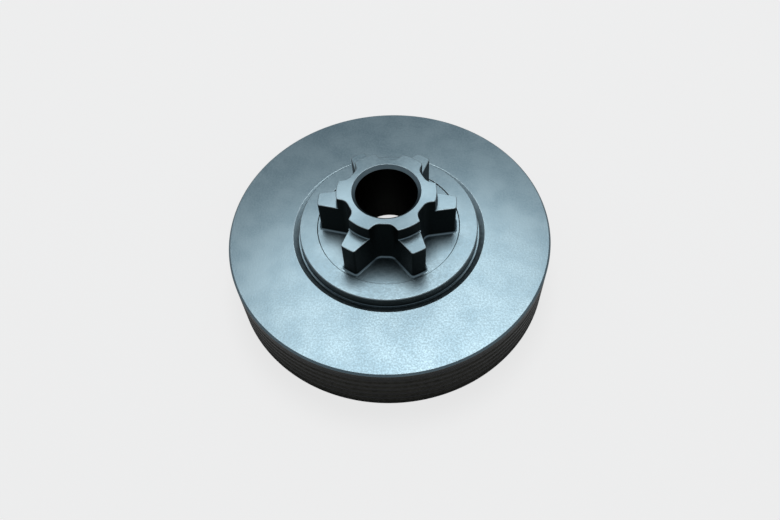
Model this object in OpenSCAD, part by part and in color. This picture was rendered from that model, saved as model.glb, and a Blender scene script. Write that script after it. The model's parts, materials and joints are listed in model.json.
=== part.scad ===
// Clutch drum of a chain saw with a spur sprocket, in one piece.
// It stands on its open rim, the sprocket up. The origin is the centre of the rim and Z is the axis.

/* [Drum] */
// Outside diameter of the drum wall
drum_d = 70.6; // [64:0.2:90]
// Height from the rim to the flat top face
drum_h = 13.5; // [12:0.1:22]
// Thickness of the drum wall
wall_t = 2.8; // [2.2:0.1:5]
// Thickness of the web under the top face
web_t = 2.6; // [2.2:0.1:4]
// Radius of the fillet between the wall and the web inside the cup
cup_fillet = 1.6; // [0.5:0.1:2.4]
// Bevel on the top outer edge
top_bevel = 0.4; // [0.2:0.1:0.8]
// Bevel on the outer edge of the rim
rim_bevel = 0.3; // [0.2:0.1:0.6]
// Lead-in bevel on the inner edge of the rim
mouth_bevel = 0.6; // [0.3:0.1:1.2]

/* [Wall grooves] */
// Distance from one turned groove to the next
groove_pitch = 2.05; // [1.6:0.05:4]
// Width of a groove at the surface
groove_w = 0.9; // [0.5:0.1:1.4]
// Depth of a groove
groove_depth = 0.22; // [0.1:0.02:0.4]
// Plain band from the top face to the first groove's middle
top_land = 3.1; // [2:0.1:6]
// Least plain band from the last groove's middle to the rim
rim_land = 1.6; // [1.2:0.1:4]

/* [Raised boss] */
// Diameter of the raised boss
boss_d = 38.9; // [36:0.1:46]
// Height of the boss above the top face
boss_h = 2.05; // [1:0.05:4]
// Rounding of the boss's upper edge
boss_round = 0.25; // [0.1:0.05:0.6]
// Width of the ring groove round the boss
ring_w = 1.6; // [1:0.1:3]
// Flat width at the bottom of the ring groove
ring_flat = 0.4; // [0.2:0.1:0.8]
// Depth of the ring groove below the top face
ring_depth = 0.45; // [0.2:0.05:0.8]

/* [Sprocket] */
// Number of sprocket teeth
tooth_count = 6; // [5:1:6]
// Diameter over the tooth tips
tip_d = 29.1; // [27:0.1:33]
// Diameter of the gap bottoms
root_d = 17; // [16.4:0.1:19]
// Height of the tooth tops above the boss
tooth_h = 8; // [5:0.1:14]
// Width of a tooth at its tip
tooth_tip_w = 3.2; // [2.4:0.1:4]
// Lean of each flank from the tooth's own centre line, in degrees
tooth_taper = 11; // [6:0.5:14]
// Rounding of the gap bottoms
root_round = 2; // [1:0.1:2.4]
// Rounding of the tooth tips
tip_round = 0.5; // [0.2:0.1:0.9]
// Depth of the recess in the boss round the teeth
recess_depth = 0.3; // [0.3:0.05:1]
// Width of the recess outside the tooth tips
recess_margin = 0.9; // [0.6:0.1:1.5]
// Fillet where the tooth tips meet the recess
base_fillet = 0.5; // [0.2:0.05:0.6]
// Rounding of the recess's upper edge
recess_round = 0.15; // [0.1:0.05:0.25]

/* [Hub and bore] */
// Diameter of the hub ring above the teeth
hub_d = 20.8; // [19.6:0.1:24]
// Height of the hub ring above the tooth tops
hub_h = 3.2; // [1:0.1:6]
// Diameter of the bore for the needle cage
bore_d = 13; // [10:0.1:13.6]
// Bevel at the bore's upper mouth
bore_bevel = 0.7; // [0.3:0.1:0.8]
// Bevel at the bore's lower mouth
bore_lower_bevel = 0.4; // [0.2:0.1:0.8]
// Bevel on the upper outer edges of the hub ring and the teeth
edge_bevel = 0.2; // [0.1:0.05:0.4]
// Fillet between the hub ring and the tooth tops
hub_fillet = 0.3; // [0.1:0.05:0.6]
// Diameter of the thrust face round the bore inside the cup
thrust_d = 21; // [18:0.5:26]
// Height of the thrust face below the web
thrust_h = 1.2; // [0.4:0.1:1.5]

/* [Hidden] */
$fn = 144;
// Overlap that carries one solid into the next, and a cutter past a face
lap = 0.3;
steel = [0.42, 0.52, 0.56];

drum_r = drum_d / 2;
cup_r = drum_r - wall_t;
cup_top = drum_h - web_t;
thrust_r = thrust_d / 2;
thrust_z = cup_top - thrust_h;
boss_r = boss_d / 2;
ring_r = boss_r + ring_w;
boss_top = drum_h + boss_h;
tip_r = tip_d / 2;
root_r = root_d / 2;
recess_r = tip_r + recess_margin;
recess_z = boss_top - recess_depth;
// How far out the gaps are cut: past the teeth's base fillet, short of the recess's edge
reach_r = tip_r + (base_fillet + recess_margin) / 2;
tooth_top = boss_top + tooth_h;
hub_r = hub_d / 2;
hub_top = tooth_top + hub_h;
bore_r = bore_d / 2;

// Grooves: as many as fit between the two plain bands
groove_count = floor((drum_h - top_land - rim_land) / groove_pitch) + 1;
groove_cut_r = (groove_w * groove_w / 4 + groove_depth * groove_depth) / (2 * groove_depth);

// The gap between two teeth, drawn in its own frame: Y runs outwards along the middle of the gap
half_pitch = 180 / tooth_count;
tip_half = asin(tooth_tip_w / 2 / tip_r);
lean = half_pitch + tooth_taper;
lip = tip_r * [sin(half_pitch - tip_half), cos(half_pitch - tip_half)];
along = [sin(lean), cos(lean)];
to_tooth = [cos(lean), -sin(lean)];
foot_x = lip[0] - (lip[1] - root_r) * tan(lean);
turn = 90 - lean;
gap_round = min(root_round, 0.95 * foot_x / tan(turn / 2));
root_centre = [foot_x - gap_round * tan(turn / 2), root_r + gap_round];
flank_start = root_centre + gap_round * to_tooth;

// Rounded tooth tip: a circle inside the tooth that touches the flank and runs out a little past the
// tip circle, so that the two meet in a faint edge
run_out = 0.02;
tip_line = lip + tip_round * to_tooth;
tip_step = sqrt(pow(tip_line * along, 2) - tip_line * tip_line + pow(tip_r - tip_round + run_out, 2))
    - tip_line * along;
tip_centre = tip_line + tip_step * along;
flank_end = tip_centre - tip_round * to_tooth;

// A rounded corner as a cutter: everything in the corner that lies outside the circle at c
module corner_waste(c, r, touch_a, corner, touch_b) {
    difference() {
        polygon([c, touch_a, corner, touch_b]);
        translate(c) circle(r);
    }
}

// Half of the gap's outline, on the side of positive X
module half_gap() {
    difference() {
        polygon([
            [0, root_r],
            [foot_x, root_r],
            lip,
            lip + 2 * recess_margin * along,
            [0, tip_r + 2 * recess_margin]
        ]);
        corner_waste(root_centre, gap_round,
            [root_centre[0], root_r - lap], [foot_x, root_r] + lap * [0.5, -1], flank_start + lap * to_tooth);
    }
}

// What the rounding takes off the tooth tip
module tip_waste() {
    beyond = 1 + 2 * recess_margin / tip_r;
    corner_waste(tip_centre, tip_round,
        flank_end - lap * to_tooth, beyond * lip - lap * to_tooth, beyond * tip_centre * tip_r / norm(tip_centre));
}

module gap_outline() {
    intersection() {
        circle(reach_r);
        for (side = [0, 1]) mirror([side, 0]) {
            half_gap();
            tip_waste();
        }
    }
}

// Concave fillet section, its corner at the origin, the wall along +Y and the floor along +X
module fillet_section(r) {
    difference() {
        square(r);
        translate([r, r]) circle(r);
    }
}

// Half section of the turned blank, with the teeth still a full ring
module blank_section() {
    difference() {
        polygon([
            [bore_r, thrust_z + bore_lower_bevel],
            [bore_r + bore_lower_bevel, thrust_z],
            [thrust_r, thrust_z],
            [thrust_r, cup_top],
            [cup_r, cup_top],
            [cup_r, mouth_bevel],
            [cup_r + mouth_bevel, 0],
            [drum_r - rim_bevel, 0],
            [drum_r, rim_bevel],
            [drum_r, drum_h - top_bevel],
            [drum_r - top_bevel, drum_h],
            [ring_r, drum_h],
            [boss_r + ring_flat, drum_h - ring_depth],
            [boss_r, drum_h - ring_depth],
            [boss_r, boss_top],
            [recess_r, boss_top],
            [recess_r, recess_z],
            [tip_r, recess_z],
            [tip_r, tooth_top - edge_bevel],
            [tip_r - edge_bevel, tooth_top],
            [hub_r, tooth_top],
            [hub_r, hub_top - edge_bevel],
            [hub_r - edge_bevel, hub_top],
            [bore_r + bore_bevel, hub_top],
            [bore_r, hub_top - bore_bevel]
        ]);
        corner_waste([boss_r - boss_round, boss_top - boss_round], boss_round,
            [boss_r - boss_round, boss_top + lap], [boss_r + lap, boss_top + lap], [boss_r + lap, boss_top - boss_round]);
        corner_waste([recess_r + recess_round, boss_top - recess_round], recess_round,
            [recess_r + recess_round, boss_top + lap], [recess_r - lap, boss_top + lap], [recess_r - lap, boss_top - recess_round]);
        for (i = [0 : groove_count - 1])
            translate([drum_r - groove_depth + groove_cut_r, drum_h - top_land - i * groove_pitch]) circle(groove_cut_r);
    }
    translate([cup_r, cup_top]) rotate(180) fillet_section(cup_fillet);
    translate([thrust_r, cup_top]) mirror([0, 1]) fillet_section(thrust_h);
    translate([hub_r, tooth_top]) fillet_section(hub_fillet);
    translate([tip_r, recess_z]) fillet_section(base_fillet);
}

module clutch_drum() {
    color(steel) difference() {
        rotate_extrude() blank_section();
        for (k = [0 : tooth_count - 1])
            rotate(k * 360 / tooth_count)
            translate([0, 0, recess_z]) linear_extrude(hub_top - recess_z + lap) gap_outline();
    }
}

clutch_drum();
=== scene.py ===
import json
import math

import bpy
import numpy as np
from mathutils import Matrix, Vector


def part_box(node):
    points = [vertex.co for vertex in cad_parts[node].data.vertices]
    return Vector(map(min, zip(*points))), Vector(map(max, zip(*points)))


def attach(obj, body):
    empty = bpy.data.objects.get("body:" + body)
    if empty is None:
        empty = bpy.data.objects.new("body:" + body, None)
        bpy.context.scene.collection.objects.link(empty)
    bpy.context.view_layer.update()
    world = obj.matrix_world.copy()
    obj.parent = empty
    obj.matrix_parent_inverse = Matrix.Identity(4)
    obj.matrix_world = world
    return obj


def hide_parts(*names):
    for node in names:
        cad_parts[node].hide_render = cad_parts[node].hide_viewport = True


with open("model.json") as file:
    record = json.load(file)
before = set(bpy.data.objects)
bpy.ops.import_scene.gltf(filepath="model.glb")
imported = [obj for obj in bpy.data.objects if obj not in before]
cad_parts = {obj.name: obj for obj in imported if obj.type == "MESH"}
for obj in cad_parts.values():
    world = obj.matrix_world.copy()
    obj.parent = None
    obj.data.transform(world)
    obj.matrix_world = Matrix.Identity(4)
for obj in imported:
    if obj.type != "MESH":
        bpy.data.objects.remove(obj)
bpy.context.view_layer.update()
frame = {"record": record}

MM = 0.001
NODE = "clutch_drum"

# Sizes in millimetres. The record gives the round fits and the overall size, and the rest repeat the
# part's source.
MOUNTS = {m["name"]: m for m in frame["record"]["mounts"]}
DRUM_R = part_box(NODE)[1].x / MM
HUB_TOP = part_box(NODE)[1].z / MM
BORE_R = MOUNTS["needle_bore"]["dims"]["r_mm"]
CUP_R = MOUNTS["shoe_track"]["dims"]["r_mm"]
THRUST_Z = MOUNTS["thrust_face"]["pos_m"][2] / MM

DRUM_H = 13.5
WEB_T = 2.6
CUP_TOP = DRUM_H - WEB_T
CUP_FILLET = 1.6
THRUST_R = 10.5
TOP_BEVEL = 0.4
RIM_BEVEL = 0.3
MOUTH_BEVEL = 0.6

GROOVE_COUNT = 5
GROOVE_PITCH = 2.05
GROOVE_W = 0.9
GROOVE_DEPTH = 0.22
TOP_LAND = 3.1

BOSS_R = 19.45
BOSS_H = 2.05
BOSS_TOP = DRUM_H + BOSS_H
BOSS_ROUND = 0.25
RING_W = 1.6
RING_FLAT = 0.4
RING_DEPTH = 0.45

TEETH = 6
TIP_R = 14.55
ROOT_R = 8.5
TOOTH_H = 8
TOOTH_TOP = BOSS_TOP + TOOTH_H
TOOTH_TIP_W = 3.2
TOOTH_TAPER = math.radians(11)
ROOT_ROUND = 2.0
TIP_ROUND = 0.5
RECESS_MARGIN = 0.9
RECESS_DEPTH = 0.3
RECESS_ROUND = 0.15
RECESS_R = TIP_R + RECESS_MARGIN
RECESS_Z = BOSS_TOP - RECESS_DEPTH
BASE_FILLET = 0.5

HUB_R = 10.4
HUB_CORNER = 0.25
HUB_FILLET = 0.3
BORE_BEVEL = 0.7
BORE_LOWER_BEVEL = 0.4

# Small roundings that the deburred edges and the turned corners have
FINE_EDGE = 0.12
TOOTH_EDGE = 0.16
HUB_EDGE = 0.16
RING_EDGE = 0.2
INNER_CORNER = 0.1
THRUST_CORNER = 0.6
# Length over which an edge's rounding grows from nothing where it leaves the hub
RUN_OUT = 0.5
# Widths of the flat strips at the two ends of the turned profile
RECESS_STRIP = 0.3
HUB_TOP_STRIP = 0.25
# Decimals of a millimetre to which points are rounded when rows are joined
WELD_DECIMALS = 5

# The photograph's camera: place and angles in the part's frame
CAMERA_PLACE = Vector((10.12, -93.28, 140.87)) * MM
CAMERA_YAW = math.radians(-6.27)
CAMERA_PITCH = math.radians(56.10)
CAMERA_ROLL = math.radians(-3.59)
CAMERA_LENS = 33.10
SENSOR = 36.0
CLIP_START = 0.005

# Colours of the steel: the flat faces' range, their bright grain, the painted shade of the upright faces and
# the painted highlight with wear on the convex edges; then the outer wall's range, darkened with painted
# shade
PALE_LOW = (0.25, 0.36, 0.42, 1)
PALE_HIGH = (0.32, 0.44, 0.50, 1)
PALE_GRAIN = (0.40, 0.53, 0.58, 1)
UPRIGHT_PAINTED_SHADE = (0.02, 0.022, 0.02, 1)
EDGE_HIGHLIGHT_AND_WEAR = (0.62, 0.72, 0.75, 1)
WALL_SHADE_LOW = (0.035, 0.034, 0.030, 1)
WALL_SHADE_HIGH = (0.06, 0.058, 0.052, 1)

# How many times a metre the grain and the mottling repeat
STEEL_GRAIN = 2600
STEEL_CLOUD = 160
WALL_GRAIN = 1400

# Share of the brighter colour in the grain, and of the painted highlight with wear at the middle of a convex
# edge
GRAIN_SHARE = 0.3
HIGHLIGHT_AND_WEAR_SHARE = 0.6
TURNING_ANISOTROPY = 0.55
BUMP_STRENGTH = 0.25
BUMP_DEPTH = 0.00004

# The floor's half width in metres, its shade, and how much white glow the camera alone sees in it
FLOOR_HALF = 3.0
FLOOR_SHADE = (0.8, 0.8, 0.8, 1)
FLOOR_GLOW = 0.75

# The sky's colour and strength, and the lamp's place in degrees and metres
SKY_COLOUR = (0.9, 0.95, 1.0, 1)
SKY_STRENGTH = 0.25
LAMP_AZIMUTH = 90
LAMP_ELEVATION = 72
LAMP_DISTANCE = 0.7
LAMP_SIZE = 0.35
LAMP_POWER = 1.5
LAMP_AIM = Vector((0, 0, 0.012))


def arc(centre, radius, start, end, steps):
    """Points from start to end, both angles in radians, round a centre."""
    a = np.linspace(start, end, steps + 1)
    return np.array(centre) + radius * np.stack([np.cos(a), np.sin(a)], 1)


def unit(v):
    """The same direction with a length of 1."""
    return v / np.linalg.norm(v, axis=-1, keepdims=True)


def cross(a, b):
    """The cross product of two plane vectors."""
    return a[0] * b[1] - a[1] * b[0]


def rounded(corners, steps=4):
    """A polyline through corners (x, y, radius), with an arc in place of each corner that has a radius.
    The solid lies on its right. Each point comes as x, y, its outward normal and how much painted highlight
    with edge wear it takes, which only convex arcs get."""
    line = []
    for k, (x, y, radius) in enumerate(corners):
        p = np.array((x, y))
        back = unit(np.array(corners[max(k - 1, 0)][:2]) - p) if k > 0 else np.zeros(2)
        on = unit(np.array(corners[k + 1][:2]) - p) if k + 1 < len(corners) else -back
        if radius == 0:
            tangent = unit(on - back)
            line.append((x, y, -tangent[1], tangent[0], 0.0))
            continue
        half = math.acos(np.clip(back @ on, -1, 1)) / 2
        centre = p + unit(back + on) * radius / math.sin(half)
        first = p + back * radius / math.tan(half) - centre
        last = p + on * radius / math.tan(half) - centre
        start = math.atan2(first[1], first[0])
        sweep = math.atan2(cross(first, last), first @ last)
        sign = math.copysign(1, sweep)
        # Convex arcs take a painted highlight with edge wear, strongest at their middle
        for share, q in zip(np.linspace(0, 1, steps + 1), arc(centre, radius, start, start + sweep, steps)):
            normal = -sign * (q - centre) / radius
            line.append((*q, *normal, math.sin(math.pi * share) if sign < 0 else 0.0))
    return np.array(line)


def drum_profile():
    """Radius and height of the turned form, from the recess round the teeth, over the wall and the cup,
    to the hub's top."""
    wall = []
    groove_r = (GROOVE_W**2 / 4 + GROOVE_DEPTH**2) / (2 * GROOVE_DEPTH)
    lip = math.asin(GROOVE_W / 2 / groove_r)
    for k in range(GROOVE_COUNT):
        centre = (DRUM_R - GROOVE_DEPTH + groove_r, DRUM_H - TOP_LAND - k * GROOVE_PITCH)
        points = arc(centre, groove_r, math.pi - lip, math.pi + lip, 6)
        wall += [(x, y, 0) for x, y in points]
    corners = [
        (RECESS_R - RECESS_STRIP, RECESS_Z, 0),
        (RECESS_R, RECESS_Z, INNER_CORNER),
        (RECESS_R, BOSS_TOP, RECESS_ROUND),
        (BOSS_R, BOSS_TOP, BOSS_ROUND),
        (BOSS_R, DRUM_H - RING_DEPTH, INNER_CORNER),
        (BOSS_R + RING_FLAT, DRUM_H - RING_DEPTH, INNER_CORNER),
        (BOSS_R + RING_W, DRUM_H, RING_EDGE),
        (DRUM_R - TOP_BEVEL, DRUM_H, FINE_EDGE),
        (DRUM_R, DRUM_H - TOP_BEVEL, FINE_EDGE),
        *wall,
        (DRUM_R, RIM_BEVEL, FINE_EDGE),
        (DRUM_R - RIM_BEVEL, 0, FINE_EDGE),
        (CUP_R + MOUTH_BEVEL, 0, FINE_EDGE),
        (CUP_R, MOUTH_BEVEL, FINE_EDGE),
        (CUP_R, CUP_TOP, CUP_FILLET),
        (THRUST_R, CUP_TOP, THRUST_CORNER),
        (THRUST_R, THRUST_Z, FINE_EDGE),
        (BORE_R + BORE_LOWER_BEVEL, THRUST_Z, FINE_EDGE),
        (BORE_R, THRUST_Z + BORE_LOWER_BEVEL, FINE_EDGE),
        (BORE_R, HUB_TOP - BORE_BEVEL, FINE_EDGE),
        (BORE_R + BORE_BEVEL, HUB_TOP, FINE_EDGE),
        (BORE_R + BORE_BEVEL + HUB_TOP_STRIP, HUB_TOP, 0),
    ]
    return rounded(corners)


def half_gap():
    """One half of a gap, from its middle to the middle of the next tooth, in the gap's frame (x outwards,
    y aside). Gives the tooth outline and its normals, the hub outline and its normals, and the number of
    points that the two share before the hub leaves the gap."""
    half_pitch = math.pi / TEETH
    lean = half_pitch + TOOTH_TAPER
    tip_half = math.asin(TOOTH_TIP_W / 2 / TIP_R)
    lip = TIP_R * np.array((math.cos(half_pitch - tip_half), math.sin(half_pitch - tip_half)))
    along = np.array((math.cos(lean), math.sin(lean)))
    to_tooth = np.array((-math.sin(lean), math.cos(lean)))
    foot_y = lip[1] - (lip[0] - ROOT_R) * math.tan(lean)
    turn = math.pi / 2 - lean
    root_centre = np.array((ROOT_R + ROOT_ROUND, foot_y - ROOT_ROUND * math.tan(turn / 2)))
    flank_start = root_centre + ROOT_ROUND * to_tooth

    def on_flank(centre_r, inset):
        """How far along the flank a circle inside the tooth, inset from it, has its centre at that radius."""
        p = flank_start + inset * to_tooth
        b = p @ along
        return -b + math.sqrt(b * b - p @ p + centre_r**2)

    tip_reach = on_flank(TIP_R - TIP_ROUND, TIP_ROUND)
    tip_centre = flank_start + tip_reach * along + TIP_ROUND * to_tooth
    hub_reach = on_flank(HUB_R - HUB_CORNER, HUB_CORNER)
    hub_centre = flank_start + hub_reach * along + HUB_CORNER * to_tooth
    flank_way = math.atan2(-to_tooth[1], -to_tooth[0])

    def way(v):
        return math.atan2(v[1], v[0])

    flat = np.linspace((ROOT_R, 0), (ROOT_R, root_centre[1]), 4)[:-1]
    bend = arc(root_centre, ROOT_ROUND, math.pi, math.pi - turn, 10)[:-1]
    low = np.linspace(flank_start, flank_start + hub_reach * along, 4)
    shared = np.concatenate([flat, bend, low])
    shared_n = np.concatenate([
        np.tile((1.0, 0.0), (len(flat), 1)), unit(root_centre - bend), np.tile(-to_tooth, (len(low), 1))])

    corner = arc(hub_centre, HUB_CORNER, flank_way, way(hub_centre), 5)[1:]

    def flank_at(angle):
        """The flank's point at that polar angle."""
        d = np.array((math.cos(angle), math.sin(angle)))
        return flank_start - along * cross(flank_start, d) / cross(along, d)

    near = np.array([flank_at(way(p)) for p in corner])
    far = np.linspace(near[-1], flank_start + tip_reach * along, 7)[1:]
    tip = arc(tip_centre, TIP_ROUND, flank_way, way(tip_centre), 8)[1:]
    crest_angles = np.linspace(way(tip[-1]), half_pitch, 6)[1:]
    crest = TIP_R * np.stack([np.cos(crest_angles), np.sin(crest_angles)], 1)
    outer = np.concatenate([near, far, tip, crest])
    outer_n = np.concatenate([
        np.tile(-to_tooth, (len(near) + len(far), 1)), unit(tip - tip_centre), unit(crest)])

    ring_angles = np.array([way(p) for p in outer[len(corner):]])
    ring = HUB_R * np.stack([np.cos(ring_angles), np.sin(ring_angles)], 1)
    hub = np.concatenate([corner, ring])
    hub_n = np.concatenate([unit(corner - hub_centre), unit(ring)])
    return (np.concatenate([shared, outer]), np.concatenate([shared_n, outer_n]),
            np.concatenate([shared, hub]), np.concatenate([shared_n, hub_n]), len(shared))


def all_round(half, mirrored_y):
    """Repeats values given for half a gap over the whole ring: both halves of each gap, gap after gap."""
    back = half[1:-1][::-1].copy()
    if mirrored_y:
        back[:, 1] *= -1
    sector = np.concatenate([back, half])
    if not mirrored_y:
        return np.tile(sector, TEETH)
    turned = []
    for k in range(TEETH):
        a = math.pi / TEETH * (2 * k + 1)
        c, s = math.cos(a), math.sin(a)
        turned.append(sector @ np.array(((c, s), (-s, c))))
    return np.concatenate(turned)


def ease(x):
    """A smooth step from 0 to 1."""
    x = np.clip(x, 0, 1)
    return x * x * (3 - 2 * x)


def sprocket_rows():
    """Rows of points from the hub's top down over the teeth to the recess, each all round the drum."""
    tooth, tooth_n, hub, hub_n, split = half_gap()
    run = np.concatenate([[0], np.cumsum(np.linalg.norm(np.diff(tooth, axis=0), axis=1))])
    grown = ease((run - run[split - 1]) / RUN_OUT)
    grow = all_round(np.where(np.arange(len(tooth)) < split, 0.0, grown), False)
    is_tooth = all_round((np.arange(len(tooth)) >= split).astype(float), False) > 0
    tooth, tooth_n, hub, hub_n = (all_round(v, True) for v in (tooth, tooth_n, hub, hub_n))

    def row(outline, normals, offset, z, steep, wear=0.0):
        """A row at that offset from an outline. Its normals lean by steep from straight up to the
        outline's own."""
        count = len(outline)
        offset, z, steep, wear = (np.broadcast_to(v, count) for v in (offset, z, steep, wear))
        n = np.column_stack([normals * np.sin(steep)[:, None], np.cos(steep)])
        return np.column_stack([outline + normals * offset[:, None], z, n, wear])

    def on_tooth(steep):
        return np.where(is_tooth, steep, math.pi / 2)

    rows = []
    # The last value of each row is its painted highlight with edge wear, on the convex top edges of the hub
    # and the teeth
    quarter = np.linspace(0, math.pi / 2, 5)
    for a in quarter:
        away, down = HUB_EDGE * (1 - math.sin(a)), HUB_EDGE * (1 - math.cos(a))
        rows.append(row(hub, hub_n, -away, HUB_TOP - down, a, math.sin(2 * a)))
    foot = HUB_FILLET * grow
    for a in quarter:
        away, up = foot * (1 - math.cos(a)), foot * (1 - math.sin(a))
        rows.append(row(hub, hub_n, away, TOOTH_TOP + up, on_tooth(math.pi / 2 - a)))
    edge = TOOTH_EDGE * grow
    for a in quarter:
        away, down = edge * (1 - math.sin(a)), edge * (1 - math.cos(a))
        rows.append(row(tooth, tooth_n, -away, TOOTH_TOP - down, on_tooth(a), math.sin(2 * a) * grow))
    for a in np.linspace(0, math.pi / 2, 6):
        away, up = BASE_FILLET * (1 - math.cos(a)), BASE_FILLET * (1 - math.sin(a))
        rows.append(row(tooth, tooth_n, away, RECESS_Z + up, math.pi / 2 - a))
    return rows, np.arctan2(tooth[:, 1], tooth[:, 0])


def drum_mesh():
    """The whole drum as one closed skin: rows of points that run round the axis, joined row to row."""
    rows, angles = sprocket_rows()
    ring = np.stack([np.cos(angles), np.sin(angles)], 1)
    even = np.ones(len(ring))
    for r, z, normal_r, normal_z, wear in drum_profile():
        rows.append(np.column_stack([r * ring, z * even, normal_r * ring, normal_z * even, wear * even]))
    table = np.stack(rows)
    n_rows, n = table.shape[:2]
    flat = table.reshape(-1, table.shape[2])
    places = np.round(flat[:, :3], WELD_DECIMALS)
    points, first, where = np.unique(places, axis=0, return_index=True, return_inverse=True)
    where = where.reshape(n_rows, n)
    faces, normals = [], []
    for i in range(n_rows):
        below = (i + 1) % n_rows
        for j in range(n):
            on = (j + 1) % n
            around = [(i, j), (below, j), (below, on), (i, on)]
            kept = [c for m, c in enumerate(around) if where[c] != where[around[m - 1]]]
            if len(kept) > 2:
                faces.append([int(where[c]) for c in kept])
                normals.extend(table[c][3:6] for c in kept)
    mesh = bpy.data.meshes.new("drum_skin")
    mesh.from_pydata([tuple(p) for p in points * MM], [], faces)
    mesh.update()
    mesh.shade_smooth()
    mesh.normals_split_custom_set([tuple(v) for v in normals])
    # The painted highlight with edge wear goes to the material as a point attribute
    wear = mesh.attributes.new("wear", "FLOAT", "POINT")
    wear.data.foreach_set("value", flat[first, 6].astype(np.float32))
    return mesh


def build_drum():
    """The dressed drum takes the place of the one CAD node."""
    obj = bpy.data.objects.new("drum_body", drum_mesh())
    bpy.context.scene.collection.objects.link(obj)
    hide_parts(NODE)
    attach(obj, "root")
    return obj


class Nodes:
    """Short names for building a material's node tree."""

    def __init__(self, name):
        self.material = bpy.data.materials.new(name)
        self.material.use_nodes = True
        self.tree = self.material.node_tree
        self.tree.nodes.clear()
        out = self.add("ShaderNodeOutputMaterial")
        self.shader = self.add("ShaderNodeBsdfPrincipled")
        self.link(self.shader.outputs["BSDF"], out.inputs["Surface"])

    def add(self, kind, **settings):
        node = self.tree.nodes.new(kind)
        for key, value in settings.items():
            setattr(node, key, value)
        return node

    def link(self, a, b):
        self.tree.links.new(a, b)

    def feed(self, socket, value):
        if isinstance(value, bpy.types.NodeSocket):
            self.link(value, socket)
        else:
            socket.default_value = value

    def times(self, a, b):
        node = self.add("ShaderNodeMath", operation="MULTIPLY")
        self.feed(node.inputs[0], a)
        self.feed(node.inputs[1], b)
        return node.outputs[0]

    def span(self, value, from_min, from_max, to_min=0, to_max=1):
        """Carries value from one range to another, smoothly at both ends."""
        node = self.add("ShaderNodeMapRange", interpolation_type="SMOOTHSTEP")
        for socket, v in zip(node.inputs[:5], (value, from_min, from_max, to_min, to_max)):
            self.feed(socket, v)
        return node.outputs[0]

    def mix(self, factor, a, b):
        """A colour between a and b. The mix node's colours are its inputs 6 and 7 and its output 2."""
        node = self.add("ShaderNodeMix", data_type="RGBA")
        self.feed(node.inputs["Factor"], factor)
        self.feed(node.inputs[6], a)
        self.feed(node.inputs[7], b)
        return node.outputs[2]

    def noise(self, vector, scale, detail):
        node = self.add("ShaderNodeTexNoise")
        self.feed(node.inputs["Vector"], vector)
        node.inputs["Scale"].default_value = scale
        node.inputs["Detail"].default_value = detail
        return node.outputs["Fac"]

    def bump(self, height, strength, distance):
        node = self.add("ShaderNodeBump")
        node.inputs["Strength"].default_value = strength
        node.inputs["Distance"].default_value = distance
        self.link(height, node.inputs["Height"])
        return node.outputs["Normal"]


def steel_material():
    """Satin turned steel: pale and mottled on flat faces, dark with painted shade on upright ones, bright
    with a painted highlight and wear on convex edges.
    """
    n = Nodes("turned_steel")
    place = n.add("ShaderNodeTexCoord")
    split = n.add("ShaderNodeSeparateXYZ")
    n.link(place.outputs["Object"], split.inputs[0])
    facing = n.add("ShaderNodeSeparateXYZ")
    n.link(place.outputs["Normal"], facing.inputs[0])
    flatness = n.span(facing.outputs["Z"], 0.25, 0.85)
    grain = n.noise(place.outputs["Object"], STEEL_GRAIN, 2)
    cloud = n.noise(place.outputs["Object"], STEEL_CLOUD, 4)
    pale = n.mix(n.span(cloud, 0.3, 0.7), PALE_LOW, PALE_HIGH)
    pale = n.mix(n.times(n.span(grain, 0.35, 0.7), GRAIN_SHARE), pale, PALE_GRAIN)
    # Upright faces take painted shade: a near-black colour in place of the dark surroundings they reflect
    colour = n.mix(flatness, UPRIGHT_PAINTED_SHADE, pale)
    # Painted highlight, together with edge wear, lightens the convex roundings
    wear = n.add("ShaderNodeAttribute", attribute_name="wear")
    colour = n.mix(n.times(wear.outputs["Fac"], HIGHLIGHT_AND_WEAR_SHARE), colour, EDGE_HIGHLIGHT_AND_WEAR)
    n.link(colour, n.shader.inputs["Base Color"])
    n.shader.inputs["Metallic"].default_value = 1.0
    n.link(n.span(grain, 0.3, 0.7, 0.36, 0.46), n.shader.inputs["Roughness"])
    n.shader.inputs["Anisotropic"].default_value = TURNING_ANISOTROPY
    tangent = n.add("ShaderNodeTangent", direction_type="RADIAL", axis="Z")
    n.link(tangent.outputs[0], n.shader.inputs["Tangent"])
    n.link(n.bump(grain, BUMP_STRENGTH, BUMP_DEPTH), n.shader.inputs["Normal"])
    return n.material


def wall_material():
    """The smoother steel of the grooved wall, darkened with painted shade in place of the dark surroundings
    it reflects.
    """
    n = Nodes("wall_steel")
    place = n.add("ShaderNodeTexCoord")
    grain = n.noise(place.outputs["Object"], WALL_GRAIN, 3)
    # Painted shade: the wall's colour stays near black, with the grain varying it between the two shades
    colour = n.mix(n.span(grain, 0.3, 0.7), WALL_SHADE_LOW, WALL_SHADE_HIGH)
    n.link(colour, n.shader.inputs["Base Color"])
    n.shader.inputs["Metallic"].default_value = 1.0
    n.link(n.span(grain, 0.3, 0.7, 0.3, 0.42), n.shader.inputs["Roughness"])
    return n.material


def dress(obj):
    """Gives the outer wall its own material and all the rest the turned steel."""
    mesh = obj.data
    mesh.materials.append(steel_material())
    mesh.materials.append(wall_material())
    centres = np.zeros(len(mesh.polygons) * 3)
    mesh.polygons.foreach_get("center", centres)
    centres = centres.reshape(-1, 3) / MM
    radius = np.hypot(centres[:, 0], centres[:, 1])
    is_wall = (radius > DRUM_R - TOP_BEVEL) & (centres[:, 2] < DRUM_H - TOP_BEVEL)
    mesh.polygons.foreach_set("material_index", is_wall.astype(np.int32))


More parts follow.
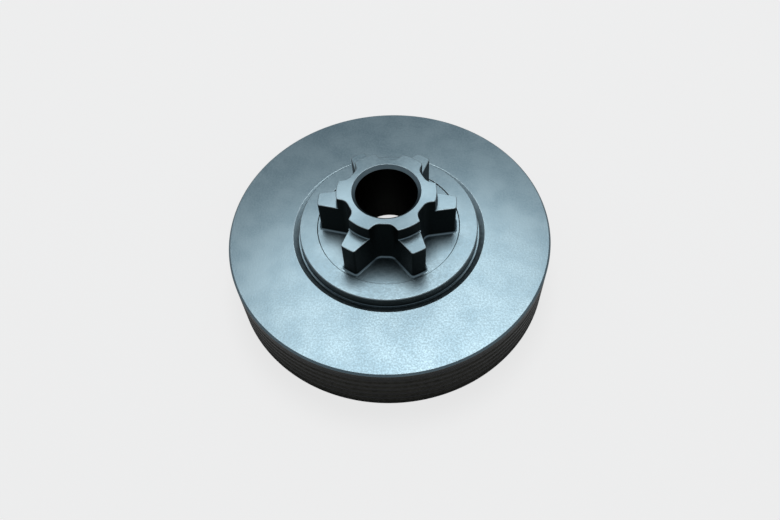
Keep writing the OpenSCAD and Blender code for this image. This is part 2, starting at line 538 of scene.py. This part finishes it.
def add_camera():
    """The photograph's camera, from its place and its three angles."""
    forward = Vector((math.sin(CAMERA_YAW) * math.cos(CAMERA_PITCH),
                      math.cos(CAMERA_YAW) * math.cos(CAMERA_PITCH), -math.sin(CAMERA_PITCH)))
    level = Vector((math.cos(CAMERA_YAW), -math.sin(CAMERA_YAW), 0))
    steep = level.cross(forward)
    right = level * math.cos(CAMERA_ROLL) + steep * math.sin(CAMERA_ROLL)
    up = steep * math.cos(CAMERA_ROLL) - level * math.sin(CAMERA_ROLL)
    data = bpy.data.cameras.new("camera")
    data.lens = CAMERA_LENS
    data.sensor_width = SENSOR
    data.clip_start = CLIP_START
    camera = bpy.data.objects.new("camera", data)
    turned = Matrix((right, up, -forward)).transposed().to_4x4()
    camera.matrix_world = Matrix.Translation(CAMERA_PLACE) @ turned
    bpy.context.scene.collection.objects.link(camera)
    bpy.context.scene.camera = camera


def add_lamp():
    """A soft round lamp that looks at the drum. Its azimuth runs from +X towards +Y."""
    a, e = math.radians(LAMP_AZIMUTH), math.radians(LAMP_ELEVATION)
    away = Vector((math.cos(a) * math.cos(e), math.sin(a) * math.cos(e), math.sin(e)))
    data = bpy.data.lights.new("overhead", "AREA")
    data.shape = "DISK"
    data.size = LAMP_SIZE
    data.energy = LAMP_POWER
    lamp = bpy.data.objects.new("overhead", data)
    lamp.location = LAMP_AIM + away * LAMP_DISTANCE
    lamp.rotation_mode = "QUATERNION"
    lamp.rotation_quaternion = away.to_track_quat("Z", "Y")
    bpy.context.scene.collection.objects.link(lamp)


def add_floor():
    """A plain pale floor that keeps the drum's shadow and glows a little for the camera alone."""
    mesh = bpy.data.meshes.new("floor")
    s = FLOOR_HALF
    mesh.from_pydata([(-s, -s, 0), (s, -s, 0), (s, s, 0), (-s, s, 0)], [], [(0, 1, 2, 3)])
    floor = bpy.data.objects.new("floor", mesh)
    bpy.context.scene.collection.objects.link(floor)
    material = bpy.data.materials.new("pale_floor")
    material.use_nodes = True
    tree = material.node_tree
    tree.nodes.clear()
    out = tree.nodes.new("ShaderNodeOutputMaterial")
    matt = tree.nodes.new("ShaderNodeBsdfDiffuse")
    matt.inputs["Color"].default_value = FLOOR_SHADE
    glow = tree.nodes.new("ShaderNodeEmission")
    glow.inputs["Color"].default_value = (1, 1, 1, 1)
    glow.inputs["Strength"].default_value = 1.0
    path = tree.nodes.new("ShaderNodeLightPath")
    seen = tree.nodes.new("ShaderNodeMath")
    seen.operation = "MULTIPLY"
    seen.inputs[1].default_value = FLOOR_GLOW
    blend = tree.nodes.new("ShaderNodeMixShader")
    tree.links.new(path.outputs["Is Camera Ray"], seen.inputs[0])
    tree.links.new(seen.outputs[0], blend.inputs[0])
    tree.links.new(matt.outputs[0], blend.inputs[1])
    tree.links.new(glow.outputs[0], blend.inputs[2])
    tree.links.new(blend.outputs[0], out.inputs[0])
    mesh.materials.append(material)


def add_sky():
    """A weak, slightly cool sky all round."""
    world = bpy.data.worlds.new("studio")
    world.use_nodes = True
    background = world.node_tree.nodes["Background"]
    background.inputs["Color"].default_value = SKY_COLOUR
    background.inputs["Strength"].default_value = SKY_STRENGTH
    bpy.context.scene.world = world


def main():
    drum = build_drum()
    dress(drum)
    add_floor()
    add_sky()
    add_lamp()
    add_camera()
    bpy.context.scene.view_settings.view_transform = "Standard"


main()
